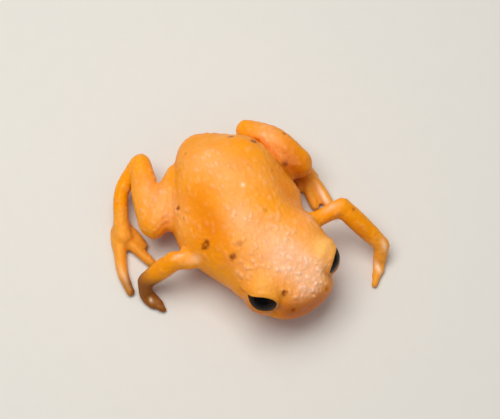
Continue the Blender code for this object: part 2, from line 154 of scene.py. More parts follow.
# The eyes, by the angle from where they look: where the cornea sinks into the ball and the pupil ends
CORNEA_EDGE = (0.2, 1.0)
PUPIL_EDGE = (0.38, 0.46)

# How far a normal points up, or down, where a mark of the skin begins and where it is full
GRAINS_UP = (0.0, 0.7)
HIGHLIGHTS_UP = (-0.1, 0.5)
UNDERSIDE_DOWN = (-0.3, 0.7)
# How strong the painted shade of deep orange on the underside is, and how grainy the back is outside its pink
# patches
UNDERSIDE_SHADE_STRENGTH = 0.85
PLAIN_GRAIN = 0.6
# The grainy skin that is refined: how strong its patch is, and above what height
GRAINY_PATCH = 0.3
GRAINY_HEIGHT = 3.6
# How much of the pink and of the grains the domes of the upper lids lack
DOME_PINK_LOSS = 0.8
DOME_GRAIN_LOSS = 0.9
# Marks at the lids: how far from the eye's middle they reach, where the smooth skin beside the edge ends,
# and where the rim of the lower lid, pinkish and darkened with painted shade, lies, fades and begins below
# the eye's middle
LID_MARKS_REACH = 1.5
LID_SMOOTH_END = (0.08, 0.35)
RIM_PLACE = 0.12
RIM_FADE = (0.04, 0.2)
RIM_BELOW = (0.0, 0.3)
# How far the clear skin of hands and feet, and the dusky skin of the right hand, darkened with painted shade,
# reach up the limbs
CLEAR_REACH = 0.9
DUSKY_AND_SHADED_REACH = 1.2

# Real sizes of the patterns: blotches of the skin, ragged edges of its spots, its fine wrinkles, patches
# where its grains are lower, folds between the grains, streaks of the iris and clouds of paper fibres.
# Wrinkles and ragged edges are finer on a live toad, and are drawn as coarse as they need to show.
BLOTCH_SIZE = 10 / 7
RAGGED_SIZE = 1 / 6
WRINKLE_SIZE = 5 / 18
LOW_PATCH_SIZE = 10 / 11
FOLD_SIZE = 2 / 9
IRIS_STREAK_SIZE = 1 / 9
FIBRE_CLOUD_SIZE = 10 / 9
# Depth of the wrinkles, and how far red light travels in the skin
WRINKLE_DEPTH = 0.12
SCATTER_DEPTH = 0.4

# Outline of the spots: flattening along each axis, shares of the radius where the edge and the pale middle
# fade, and the waves that make it uneven, each by its phase per millimetre along the axes
SPOT_STRETCH = (1, 1, 0.8)
SPOT_EDGE = (0.4, 1.2)
SPOT_MIDDLE = (0.0, 0.55)
SPOT_WAVES = ((9, 0, 4), (-5, 11, 0), (19, 19, 0))
SPOT_WAVE_HEIGHT = 0.09

# Brown marks, and one painted shadow in the crease where the rump meets the left thigh: place, radius,
# strength, and how pale their middle is
SPOTS_AND_CREASE_SHADOW = [
    ((-3.71, -0.72, 4.2), 0.34, 0.95, 0.6),  # ring on the right shoulder
    ((-2.68, -2.35, 4.83), 0.26, 0.85, 0.0),
    ((-2.06, -1.93, 5.22), 0.26, 0.45, 0.0),
    ((-4.11, 2.4, 3.83), 0.17, 0.9, 0.0),
    ((-4.08, 1.55, 4.03), 0.11, 0.45, 0.0),
    ((-2.19, 5.41, 4.27), 0.1, 0.6, 0.0),
    ((0.33, -0.71, 5.43), 0.16, 0.25, 0.0),
    ((2.08, 1.81, 4.64), 0.1, 0.4, 0.0),
    ((-0.89, -5.69, 4.39), 0.22, 0.85, 0.0),  # in front of the right eye
    ((1.89, 4.1, 4.76), 0.27, 0.85, 0.0),  # where the left thigh meets the rump
    ((3.32, 2.54, 3.3), 0.24, 0.9, 0.0),
    # painted shadow in the crease where the rump meets the left thigh
    ((0.82, 5.14, 4.5), 0.24, 0.75, 0.0),
    ((4.2, 4.41, 3.33), 0.16, 0.7, 0.0),
    ((5.73, -2.11, 3.1), 0.14, 0.6, 0.0),
    ((-7.93, -0.2, 1.18), 0.1, 0.7, 0.0),
]
# Grainy pinkish patches, partly the skin's own pale tint and partly a painted sheen where light falls on the
# upper surfaces: place, spread, strength
PINK_AND_SHEEN_PATCHES = [
    ((0.3, -4.1, 5.0), (1.5, 1.3, 1.4), 1.0),
    ((1.3, -5.0, 4.6), (1.1, 0.9, 1.0), 0.9),
    ((-0.2, -2.4, 5.2), (1.4, 1.2, 1.4), 0.6),
    ((-1.2, -0.5, 5.3), (0.9, 1.3, 1.2), 0.6),
    ((-0.7, 2.4, 5.4), (1.2, 1.5, 1.3), 0.35),
    ((-1.5, 4.0, 4.9), (1.3, 1.0, 1.2), 0.4),
    ((1.1, 1.4, 5.2), (1.0, 1.6, 1.2), 0.15),
    ((0.9, -5.6, 4.4), (0.9, 0.6, 0.7), 0.6),
    ((0.6, -6.15, 4.05), (1.2, 0.45, 0.6), 0.7),
    ((-2.2, -3.1, 4.3), (0.8, 1.0, 0.8), 0.35),
    ((-0.2, -3.8, 5.0), (0.6, 0.4, 0.6), 0.5),
    ((-5.0, 4.3, 3.3), (1.0, 1.6, 1.0), 0.35),
    ((-4.6, 2.2, 3.6), (1.2, 1.6, 1.0), 0.3),
    ((2.5, -2.1, 4.3), (0.8, 0.8, 0.8), 0.45),
    ((3.0, 4.6, 3.8), (1.0, 1.5, 1.0), 0.45),
]
# Smooth domes of the upper lids, yellowish, the yellow partly their own tint and partly a painted highlight:
# place, spread, strength
LID_DOMES = [
    ((2.5, -4.1, 4.6), (0.75, 0.75, 0.8), 1.3),
    ((-1.95, -4.85, 4.6), (0.7, 0.8, 0.8), 0.55),
]
# Painted shade: deep orange in the hollows of the back and neck, on the snout's front and low on the flanks,
# where less light falls: place, spread, strength
SHADED_HOLLOWS = [
    ((-2.9, 0.4, 4.4), (1.1, 2.4, 1.3), 0.7),
    ((2.5, 0.4, 4.4), (0.9, 2.2, 1.3), 0.6),
    ((0.4, -6.9, 2.9), (2.6, 0.9, 0.9), 1.0),
    ((3.6, 3.4, 2.6), (0.8, 1.8, 0.9), 1.0),
    ((-1.9, -3.2, 3.9), (0.7, 1.2, 0.8), 0.2),
    ((-4.9, 2.2, 1.4), (1.2, 1.6, 0.9), 0.6),
]
# Painted shade: dark brownish orange where the skin turns down, away from the light: place, spread, strength
SHADES = [
    ((0.6, -6.95, 3.0), (2.6, 0.85, 0.95), 0.75),
    ((3.6, 2.3, 2.9), (1.1, 1.0, 0.9), 0.9),
    ((5.6, -3.3, 2.0), (0.7, 1.4, 0.9), 0.3),
    ((-6.6, 4.1, 0.9), (0.4, 0.9, 0.6), 0.5),
    ((2.0, 4.6, 3.6), (0.4, 0.6, 0.6), 0.4),
    ((-4.6, 3.4, 2.2), (0.5, 1.0, 0.8), 0.4),
    ((-3.0, -5.3, 2.9), (0.8, 1.0, 0.8), 0.6),
    ((-1.0, -6.3, 3.6), (0.8, 0.6, 0.8), 0.6),
    ((-6.8, 0.0, 1.9), (0.8, 0.8, 0.8), 0.2),
]
# Painted highlights: whitish streaks where the clear skin of the limbs catches the light, and one white glint
# on the back: place, spread, strength
PAINTED_HIGHLIGHTS = [
    ((5.95, -5.42, 0.5), (0.13, 0.5, 0.3), 1.0),
    ((6.72, -4.5, 1.5), (0.14, 0.45, 0.35), 0.8),
    ((5.09, 0.5, 0.66), (0.15, 0.8, 0.25), 1.0),
    ((-4.2, -0.85, 3.2), (0.9, 0.3, 0.3), 0.5),
    ((-5.3, -0.3, 3.3), (0.4, 0.15, 0.2), 0.6),
    ((-7.75, -1.1, 0.55), (0.09, 0.13, 0.3), 1.0),
    ((-8.6, 1.2, 0.5), (0.14, 0.7, 0.3), 0.5),
    # painted glint on the back
    ((-0.21, 1.32, 5.6), (0.1, 0.14, 0.3), 1.2),
    ((4.5, -1.42, 3.29), (0.5, 0.2, 0.3), 0.45),
]

CAMERA_TARGET = Vector((0.6, 2.0, 0.0))
SENSOR_WIDTH = 36.0

# In metres in the frame of the solids: the paper, the camera's nearest and farthest view, the point that
# the lights face, and the place, size and linear colour of each light
FLOOR_HALF_WIDTH = 0.6
FLOOR_DROP = 0.00002
CAMERA_VIEW = (0.002, 20.0)
LIT_POINT = (0, 0, 0.003)
LIGHTS = {
    "key": ((-0.012, 0.02, 0.1), (0.09, 0.07), (1.0, 0.97, 0.92)),
    "fill": ((0.03, -0.08, 0.05), (0.08, 0.06), (0.95, 0.97, 1.0)),
}
SURROUND_COLOUR = (0.97, 0.98, 1.0, 1.0)


def linear(hex_colour):
    """A linear colour from the usual hex value."""
    parts = [int(hex_colour[start:start + 2], 16) / 255 for start in (1, 3, 5)]
    return tuple(part / 12.92 if part <= 0.04045 else ((part + 0.055) / 1.055) ** 2.4 for part in parts)


def node_middle(name):
    """The middle of a solid, in millimetres from the toad's own middle."""
    low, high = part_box(name)
    return (low + high) / 2 * MILLIMETRES - toad_shift()


def toad_shift():
    """From the toad's own middle to the frame's origin, in millimetres."""
    corners = [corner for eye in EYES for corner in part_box(eye)]
    middle = sum(corners, Vector()) / len(corners) * MILLIMETRES
    return Vector((middle.x, middle.y, 0.0)) - BETWEEN_EYES


def head_axes():
    """Directions from the head: to its left, forwards and up."""
    left = node_middle("eye_left") - node_middle("eye_right")
    left = Vector((left.x, left.y, 0.0)).normalized()
    return left, Vector((left.y, -left.x, 0.0)), Vector((0.0, 0.0, 1.0))


def eye_axes(eye):
    """Directions from an eye: where it looks, forwards along its lids, and up across them."""
    left, forward, up = head_axes()
    outward = left * SIDES[eye]
    flat_look = outward * math.cos(EYE_TURN) + forward * math.sin(EYE_TURN)
    along = forward * math.cos(EYE_TURN) - outward * math.sin(EYE_TURN)
    level, steep = math.cos(EYE_TILT[eye]), math.sin(EYE_TILT[eye])
    look = flat_look * level + up * steep
    across = up * level - flat_look * steep
    return look, along, across


# Meshes as arrays of points

def points_of(mesh):
    """The places of a mesh's points, a row for each."""
    points = np.empty(len(mesh.vertices) * 3, np.float32)
    mesh.vertices.foreach_get("co", points)
    return points.reshape(-1, 3).astype(float)


def move_points(mesh, points):
    """Give a mesh's points new places."""
    mesh.vertices.foreach_set("co", points.astype(np.float32).ravel())
    mesh.update()


def normals_of(mesh):
    """The directions out of a mesh at its points, a row for each."""
    normals = np.empty(len(mesh.vertices) * 3, np.float32)
    mesh.vertex_normals.foreach_get("vector", normals)
    return normals.reshape(-1, 3).astype(float)


def smooth_mesh(mesh, rounds, weight=None, steps=IN_AND_OUT):
    """Smooth a mesh: each step of a round moves its points towards, or away from, their neighbours."""
    points = points_of(mesh)
    edges = np.empty(len(mesh.edges) * 2, np.int32)
    mesh.edges.foreach_get("vertices", edges)
    starts, ends = edges.reshape(-1, 2).T
    count = np.bincount(starts, minlength=len(points)) + np.bincount(ends, minlength=len(points))
    weight = np.ones(len(points)) if weight is None else weight
    for factor in steps * rounds:
        for axis in range(3):
            column = points[:, axis]
            total = np.bincount(starts, weights=column[ends], minlength=len(points))
            total += np.bincount(ends, weights=column[starts], minlength=len(points))
            points[:, axis] = column + weight * factor * (total / count - column)
    move_points(mesh, points)


def step_up(values, low, high):
    """A smooth rise from 0 at low to 1 at high."""
    share = np.clip((values - low) / (high - low), 0, 1)
    return share * share * (3 - 2 * share)


def bells(points, rows):
    """The sum of soft bells, each given by its place, spread and height."""
    total = np.zeros(len(points))
    for centre, spread, height in rows:
        total += height * np.exp(-(((points - np.array(centre)) / np.array(spread)) ** 2).sum(axis=1))
    return total


def evaluated_copy(thing):
    """The mesh that an object's modifiers make."""
    bpy.context.view_layer.update()
    return bpy.data.meshes.new_from_object(thing.evaluated_get(bpy.context.evaluated_depsgraph_get()))


def apply_steps(thing):
    """Keep what an object's modifiers make, and drop the modifiers."""
    made = evaluated_copy(thing)
    thing.modifiers.clear()
    old, thing.data = thing.data, made
    bpy.data.meshes.remove(old)


def even_out(thing, cell):
    """Wrap the outside of a mesh in even faces of the given size."""
    step = thing.modifiers.new("even faces", "REMESH")
    step.mode = "VOXEL"
    step.voxel_size = cell
    apply_steps(thing)


def swell(thing, amount):
    """Move the surface of a mesh out by the given amount, or in by a negative one."""
    move_points(thing.data, points_of(thing.data) + normals_of(thing.data) * amount)


# The skin

def solid_copy(name):
    """The mesh of a solid, in millimetres from the toad's own middle."""
    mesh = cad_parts[name].data.copy()
    mesh.transform(Matrix.Translation(-toad_shift()) @ Matrix.Scale(MILLIMETRES, 4))
    return mesh


def core_flesh(eye_cover):
    """The head, trunk and upper limbs in one object, with the hollows round the eyes filled."""
    skin = bmesh.new()
    for name in CORE:
        skin.from_mesh(solid_copy(name))
    bmesh.ops.remove_doubles(skin, verts=skin.verts, dist=WELD)
    bridge_joint(skin, *NECK)
    for eye in EYES:
        place = Matrix.Translation(node_middle(eye))
        bmesh.ops.create_icosphere(skin, subdivisions=4, radius=eye_cover, matrix=place)
    mesh = bpy.data.meshes.new("toad_skin")
    skin.to_mesh(mesh)
    skin.free()
    thing = bpy.data.objects.new("toad_skin", mesh)
    bpy.context.scene.collection.objects.link(thing)
    return thing


def facing_rims(first, second):
    """The points round the flat ends with which two neighbouring solids face each other."""
    meshes = [solid_copy(name) for name in (first, second)]
    trees = [BVHTree.FromPolygons([vertex.co for vertex in mesh.vertices],
                                  [list(face.vertices) for face in mesh.polygons]) for mesh in meshes]
    halfway = []
    for mesh, tree in zip(meshes, reversed(trees)):
        hits = [(vertex.co, tree.find_nearest(vertex.co, JOINT_REACH)[0]) for vertex in mesh.vertices]
        halfway += [(point + hit) / 2 for point, hit in hits if hit]
    middle = np.mean(halfway, axis=0)
    spread = np.array(halfway) - middle
    # The points between the ends spread least across the joint's plane
    across = np.linalg.svd(spread)[2][2]
    reach = RIM_REACH * np.linalg.norm(spread, axis=1).max()
    return [vertex.co for mesh in meshes for vertex in mesh.vertices
            if abs(across @ (np.array(vertex.co) - middle)) < RIM_DEPTH
            and np.linalg.norm(np.array(vertex.co) - middle) < reach]


def bridge_joint(skin, first, second):
    """Bridge a joint with the hull of the two ends that face each other there."""
    ends = [skin.verts.new(point) for point in facing_rims(first, second)]
    hull = bmesh.ops.convex_hull(skin, input=ends)
    loose = {item for key in ("geom_interior", "geom_unused") for item in hull[key]
             if isinstance(item, bmesh.types.BMVert)}
    bmesh.ops.delete(skin, geom=list(loose), context="VERTS")


def add_limbs(thing):
    """Add the rest of the limbs, and bridge each of their joints."""
    skin = bmesh.new()
    skin.from_mesh(thing.data)
    for before, after in LIMB_JOINTS:
        skin.from_mesh(solid_copy(after))
        bridge_joint(skin, before, after)
    skin.to_mesh(thing.data)
    skin.free()


def keep_leg_gap(thing):
    """Keep the left foot and the thigh above it from growing together."""
    points = points_of(thing.data)
    place, spread, amount = LEG_GAP
    side = np.where(points[:, 2] > place[2], amount, -amount)
    points[:, 2] += side * bells(points, [(place, spread, 1.0)])
    move_points(thing.data, points)


def smooth_skin(thing):
    """Smooth all the skin, and more so where parts run into each other and in a ring round each eye."""
    smooth_mesh(thing.data, SKIN_ROUNDS)
    blends = np.clip(bells(points_of(thing.data), BLENDS), 0, 1)
    smooth_mesh(thing.data, BLEND_ROUNDS, blends, IN_ONLY)
    points = points_of(thing.data)
    inner, outer = (near_eyes(points, reach) for reach in EYE_RING)
    smooth_mesh(thing.data, EYE_RING_ROUNDS, (outer & ~inner).astype(float), IN_ONLY)


def refine(thing, wanted, longest=0.0):
    """Halve the edges longer than the given length where the given function of the points is true."""
    skin = bmesh.new()
    skin.from_mesh(thing.data)
    chosen = wanted(points_of(thing.data))
    edges = [edge for edge in skin.edges if chosen[edge.verts[0].index] and chosen[edge.verts[1].index]
             and edge.calc_length() > longest]
    bmesh.ops.subdivide_edges(skin, edges=edges, cuts=1, use_grid_fill=True)
    skin.to_mesh(thing.data)
    skin.free()


def near_eyes(points, reach):
    """Which points lie within reach of an eye's middle."""
    chosen = np.zeros(len(points), bool)
    for eye in EYES:
        chosen |= np.linalg.norm(points - np.array(node_middle(eye)), axis=1) < reach
    return chosen


def mouth_distance(points):
    """How far each point lies above the mouth line, and how far forwards of the mouth's corners.

    A point that isn't on the head counts as behind them.
    """
    left, forward, _ = (np.array(axis) for axis in head_axes())
    offset = points - np.array(BETWEEN_EYES)
    ahead = offset @ forward
    level = MOUTH_HEIGHT - (SNOUT_REACH - ahead) * math.tan(MOUTH_DROOP)
    on_head = np.abs(offset @ left) < HEAD_HALF_WIDTH
    return points[:, 2] - level, np.where(on_head, ahead - MOUTH_BACK, -1)


def near_mouth(points):
    """Which points lie beside the mouth line."""
    above, ahead = mouth_distance(points)
    return (np.abs(above) < MOUTH_REGION) & (ahead > MOUTH_REGION_BACK)


def lid_reach(eye, points, settings):
    """How far each point lies outside the opening of an eye's lids, measured along the eye's surface.

    Also gives the offset of the point from the eye's middle, and how far it lies above the opening's axis.
    """
    look, along, across = (np.array(axis) for axis in eye_axes(eye))
    offset = points - np.array(node_middle(eye))
    forward, up = offset @ along, offset @ across
    aside = np.maximum(np.hypot(forward, up), WELD)
    share = np.clip(forward / settings.lid_half_length, -1, 1)
    bent_up = up + LID_BEND * np.maximum(share, 0) ** 2
    upper_lid = settings.upper_lid * (1 + np.clip(forward, *UPPER_LID_CHANGE))
    opening = np.where(bent_up > 0, upper_lid, settings.lower_lid)
    fullness = OPENING_FULLNESS + FRONT_FULLNESS * share
    spread = np.abs(forward / settings.lid_half_length) ** fullness + np.abs(bent_up / opening) ** fullness
    edge = aside / np.maximum(spread ** (1 / fullness), WELD)
    limit = np.arcsin(np.minimum(edge / settings.eye_radius, OPENING_LIMIT))
    return (np.arctan2(aside, offset @ look) - limit) * settings.eye_radius, offset, up


def near_lids(points, settings):
    """Which points lie beside the edge of an eye's lids."""
    chosen = np.zeros(len(points), bool)
    for eye in EYES:
        outside, offset, _ = lid_reach(eye, points, settings)
        chosen |= (np.abs(outside) < LID_REGION) & (np.linalg.norm(offset, axis=1) < EYE_REGION)
    return chosen


def refine_skin(thing, settings):
    """Give the eyes, the mouth and the grainy patches smaller faces, and the lids the smallest."""
    refine(thing, lambda points: near_eyes(points, EYE_REGION) | near_mouth(points))
    refine(thing, lambda points: near_lids(points, settings))
    refine(thing, lambda points: ((bells(points, PINK_AND_SHEEN_PATCHES) > GRAINY_PATCH) & (points[:, 2] > GRAINY_HEIGHT)
                                  & ~near_eyes(points, EYE_REGION)))
    smooth_mesh(thing.data, REFINED_ROUNDS)


def shape_lids(thing, settings):
    """Draw the lids close round the eyes, with a nearly straight upper edge and a round lower one."""
    points = points_of(thing.data)
    for eye in EYES:
        outside, offset, up = lid_reach(eye, points, settings)
        distance = np.linalg.norm(offset, axis=1)
        beyond = np.maximum(outside, 0)
        lid = settings.lid_thickness * (1 - np.exp(-beyond / LID_ROUNDING)) + LID_SLOPE * beyond
        lid -= settings.lid_crease * np.exp(-((outside - CREASE_PLACE) / CREASE_WIDTH) ** 2) * (up > 0)
        tuck = np.maximum(outside * TUCK_SLOPE, -TUCK_DEPTH)
        goal = settings.eye_radius + np.where(outside > 0, lid, tuck)
        hold = (1 - step_up(outside, *LID_FADE)) * (1 - step_up(distance, *LID_END))
        points += offset / distance[:, None] * ((goal - distance) * hold)[:, None]
    move_points(thing.data, points)


def cut_mouth(thing, settings):
    """Press the line of the mouth in between the lips."""
    points, normals = points_of(thing.data), normals_of(thing.data)
    above, ahead = mouth_distance(points)
    groove = np.exp(-(above / settings.mouth_half_width) ** 2) * step_up(ahead, *MOUTH_START)
    points -= normals * (settings.mouth_depth * groove)[:, None]
    move_points(thing.data, points)


def cut_nostrils(thing, settings):
    """Sink the nostrils, each with a soft rim."""
    points, normals = points_of(thing.data), normals_of(thing.data)
    for place in NOSTRILS:
        nearest = np.linalg.norm(points - np.array(place), axis=1).argmin()
        reach = np.linalg.norm(points - points[nearest], axis=1)
        rim = NOSTRIL_RIM_HEIGHT * np.exp(-((reach - NOSTRIL_RIM) / NOSTRIL_RIM_WIDTH) ** 2)
        pit = settings.nostril_depth * np.exp(-(reach / NOSTRIL_PIT) ** 2)
        points += normals * (rim - pit)[:, None]
    move_points(thing.data, points)


def write_attribute(mesh, name, values):
    """Keep a value from 0 to 1 for each point of a mesh, for its nodes to read."""
    attribute = mesh.attributes.new(name, "FLOAT", "POINT")
    attribute.data.foreach_set("value", np.clip(values, 0, 1).astype(np.float32))


def near_solid(points, name, reach):
    """1 inside the box round a solid, falling to 0 at the given reach outside it."""
    low, high = (np.array(corner * MILLIMETRES - toad_shift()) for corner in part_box(name))
    outside = np.maximum(np.maximum(low - points, points - high), 0)
    return 1 - step_up(np.linalg.norm(outside, axis=1), 0.0, reach)


def spots_with_crease_shadow(points):
    """How brown each point is: brown marks with an uneven outline, some with a pale middle, and one painted
    shadow in a crease.
    """
    brown = np.zeros(len(points))
    uneven = SPOT_WAVE_HEIGHT * sum(np.sin(points @ wave) for wave in SPOT_WAVES)
    for place, radius, strength, pale in SPOTS_AND_CREASE_SHADOW:
        reach = np.linalg.norm((points - np.array(place)) * SPOT_STRETCH, axis=1) / radius + uneven
        mark = strength * (1 - step_up(reach, *SPOT_EDGE))
        brown = np.maximum(brown, mark * (1 - pale * (1 - step_up(reach, *SPOT_MIDDLE))))
    return brown


def lid_marks(points, settings):
    """How far each point is in the rim of a lower lid, pinkish and darkened with painted shade, and in the
    smooth skin beside a lid's edge.
    """
    rim, lid_edge = np.zeros(len(points)), np.zeros(len(points))
    for eye in EYES:
        outside, offset, up = lid_reach(eye, points, settings)
        near = np.linalg.norm(offset, axis=1) < LID_MARKS_REACH
        line = 1 - step_up(np.abs(outside - RIM_PLACE), *RIM_FADE)
        rim = np.maximum(rim, near * step_up(-up, *RIM_BELOW) * line)
        lid_edge = np.maximum(lid_edge, near * (1 - step_up(outside, *LID_SMOOTH_END)))
    return rim, lid_edge


def paint_skin(thing, settings):
    """Write where the skin is pinkish, domed, brown, grainy or clear, where the right hand is darker, and
    where shade, sheen and highlights are painted on it.
    """
    mesh = thing.data
    points, normals = points_of(mesh), normals_of(mesh)
    upward = step_up(normals[:, 2], *GRAINS_UP)
    underside_shade = step_up(-normals[:, 2], *UNDERSIDE_DOWN)
    # Pink patches on the surfaces that face up: partly the skin's own tint, partly a painted sheen
    pink_and_sheen = bells(points, PINK_AND_SHEEN_PATCHES) * upward
    domes = np.clip(bells(points, LID_DOMES), 0, 1)
    rim, lid_edge = lid_marks(points, settings)
    write_attribute(mesh, "pink_and_sheen", pink_and_sheen * (1 - DOME_PINK_LOSS * domes))
    # The domes' pale yellow is partly a painted highlight
    write_attribute(mesh, "dome", domes)
    # Painted shade where the skin turns down
    write_attribute(mesh, "shade", bells(points, SHADES))
    # Painted shade: deep orange in the hollows and where the skin faces down
    write_attribute(mesh, "hollow_shade", bells(points, SHADED_HOLLOWS) + UNDERSIDE_SHADE_STRENGTH * underside_shade)
    # Painted highlights on the limbs and a painted glint on the back, where the skin faces up
    write_attribute(mesh, "painted_highlight", bells(points, PAINTED_HIGHLIGHTS) * step_up(normals[:, 2], *HIGHLIGHTS_UP))
    # Brown marks, and one painted shadow in a crease
    write_attribute(mesh, "brown", spots_with_crease_shadow(points))
    # The rim of a lower lid: pinkish, darkened with painted shade
    write_attribute(mesh, "rim", rim)
    grain = (PLAIN_GRAIN * upward + pink_and_sheen) * (1 - DOME_GRAIN_LOSS * domes) * (1 - lid_edge)
    write_attribute(mesh, "grain", grain)
    write_attribute(mesh, "clear", np.max([near_solid(points, name, CLEAR_REACH) for name in DIGITS], axis=0))
    # The right hand: brownish skin, darkened with painted shade
    write_attribute(mesh, "dusky_and_shaded", near_solid(points, "hand_right", DUSKY_AND_SHADED_REACH))


def add_node(tree, kind, inputs=None, **settings):
    """Add a node. Inputs are given by name or index: a socket to link from, or a value."""
    node = tree.nodes.new(kind)
    for name, value in settings.items():
        setattr(node, name, value)
    for key, value in (inputs or {}).items():
        socket = node.inputs[key]
        if isinstance(value, bpy.types.NodeSocket):
            tree.links.new(value, socket)
        else:
            socket.default_value = value
    return node


def grain_tree(material):
    """Nodes that raise the grains of the skin: uneven little domes, set close together."""
    tree = bpy.data.node_groups.new("skin grains", "GeometryNodeTree")
    face = tree.interface
    face.new_socket("Skin", in_out="INPUT", socket_type="NodeSocketGeometry")
    for name in ("Spacing", "Height", "Unevenness", "Stretch"):
        face.new_socket(name, in_out="INPUT", socket_type="NodeSocketFloat")
    face.new_socket("Seed", in_out="INPUT", socket_type="NodeSocketInt")
    face.new_socket("Skin", in_out="OUTPUT", socket_type="NodeSocketGeometry")
    given = add_node(tree, "NodeGroupInput").outputs
    place = add_node(tree, "GeometryNodeInputPosition").outputs[0]
    shrunk = add_node(tree, "ShaderNodeMath", {0: 1.0, 1: given["Stretch"]}, operation="DIVIDE").outputs[0]
    shrunk = add_node(tree, "ShaderNodeCombineXYZ", {"X": 1.0, "Y": shrunk, "Z": 1.0}).outputs[0]
    place = add_node(tree, "ShaderNodeVectorMath", {0: place, 1: shrunk}, operation="MULTIPLY").outputs[0]
    scale = add_node(tree, "ShaderNodeMath", {0: 1.0, 1: given["Spacing"]}, operation="DIVIDE").outputs[0]
    waves = add_node(tree, "ShaderNodeTexNoise", {"Vector": place, "W": given["Seed"], "Scale": scale,
                                                  "Detail": 1.0}, noise_dimensions="4D")
    centred = add_node(tree, "ShaderNodeVectorMath", {0: waves.outputs["Color"], 1: (0.5, 0.5, 0.5)},
                       operation="SUBTRACT").outputs[0]
    bent = add_node(tree, "ShaderNodeVectorMath", {0: centred, "Scale": given["Unevenness"]},
                    operation="SCALE").outputs[0]
    bent = add_node(tree, "ShaderNodeVectorMath", {0: place, 1: bent}, operation="ADD").outputs[0]
    cells = add_node(tree, "ShaderNodeTexVoronoi", {"Vector": bent, "W": given["Seed"], "Scale": scale,
                                                    "Smoothness": 0.25},
                     voronoi_dimensions="4D", feature="SMOOTH_F1")
    dome = add_node(tree, "ShaderNodeMapRange",
                    {"Value": cells.outputs["Distance"], "From Min": 0.6, "From Max": 0.22},
                    interpolation_type="SMOOTHSTEP").outputs[0]
    # Here and there the grains are less than half as high
    lower = add_node(tree, "ShaderNodeTexNoise",
                     {"Vector": place, "Scale": 1 / LOW_PATCH_SIZE, "Detail": 1.0}).outputs[0]
    lower = add_node(tree, "ShaderNodeMapRange",
                     {"Value": lower, "From Min": 0.38, "From Max": 0.6, "To Min": 0.45}).outputs[0]
    dome = add_node(tree, "ShaderNodeMath", {0: dome, 1: lower}, operation="MULTIPLY").outputs[0]
    where = add_node(tree, "GeometryNodeInputNamedAttribute", {"Name": "grain"}, data_type="FLOAT").outputs[0]
    raised = add_node(tree, "ShaderNodeMath", {0: dome, 1: where}, operation="MULTIPLY").outputs[0]
    stored = add_node(tree, "GeometryNodeStoreNamedAttribute",
                      {"Geometry": given["Skin"], "Name": "granule", "Value": raised},
                      data_type="FLOAT", domain="POINT").outputs[0]
    # Soft folds run between the grains, a little higher and lower than the skin
    folds = add_node(tree, "ShaderNodeTexNoise",
                     {"Vector": place, "Scale": 1 / FOLD_SIZE, "Detail": 2.0}).outputs[0]
    folds = add_node(tree, "ShaderNodeMath", {0: folds, 1: 0.5}, operation="SUBTRACT").outputs[0]
    folds = add_node(tree, "ShaderNodeMath", {0: folds, 1: where}, operation="MULTIPLY").outputs[0]
    rise = add_node(tree, "ShaderNodeMath", {0: folds, 1: 1.2, 2: raised},
                    operation="MULTIPLY_ADD").outputs[0]
    height = add_node(tree, "ShaderNodeMath", {0: rise, 1: given["Height"]}, operation="MULTIPLY").outputs[0]
    normal = add_node(tree, "GeometryNodeInputNormal").outputs[0]
    lift = add_node(tree, "ShaderNodeVectorMath", {0: normal, "Scale": height}, operation="SCALE").outputs[0]
    lifted = add_node(tree, "GeometryNodeSetPosition", {"Geometry": stored, "Offset": lift}).outputs[0]
    real = add_node(tree, "GeometryNodeRealizeInstances", {"Geometry": lifted}).outputs[0]
    dressed = add_node(tree, "GeometryNodeSetMaterial", {"Geometry": real, "Material": material}).outputs[0]
    add_node(tree, "NodeGroupOutput", {0: dressed})
    return tree


def raise_grains(thing, settings, material):
    """Raise the grains on a skin and give it its material."""
    tree = grain_tree(material)
    step = thing.modifiers.new("skin grains", "NODES")
    step.node_group = tree
    wanted = {"Spacing": settings.grain_spacing, "Height": settings.grain_height,
              "Unevenness": settings.grain_unevenness, "Stretch": settings.grain_stretch,
              "Seed": settings.grain_seed}
    for item in tree.interface.items_tree:
        if item.in_out == "INPUT" and item.name in wanted:
            step[item.identifier] = wanted[item.name]
    apply_steps(thing)


def press_on_floor(thing):
    """Flatten what would reach through the floor."""
    points = points_of(thing.data)
    points[:, 2] = np.maximum(points[:, 2], 0)
    move_points(thing.data, points)


def finish_piece(thing, replaced):
    """Turn a piece back into metres in the frame of the solids, and tie it to them."""
    thing.data.transform(Matrix.Scale(1 / MILLIMETRES, 4) @ Matrix.Translation(toad_shift()))
    thing.data.shade_smooth()
    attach(thing, BODY)
    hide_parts(*replaced)


# Materials

def new_material(name):
    """A material without nodes, and its tree."""
    material = bpy.data.materials.new(name)
    material.use_nodes = True
    material.node_tree.nodes.clear()
    return material, material.node_tree


def attribute(tree, name):
    """The socket of a value kept with the points of a mesh."""
    return add_node(tree, "ShaderNodeAttribute", attribute_name=name).outputs["Fac"]


def blend_colours(tree, share, first, second):
    """The socket of a colour between two others. A Mix node's colours are its sockets 6 and 7."""
    return add_node(tree, "ShaderNodeMix", {0: share, 6: first, 7: second}, data_type="RGBA").outputs[2]


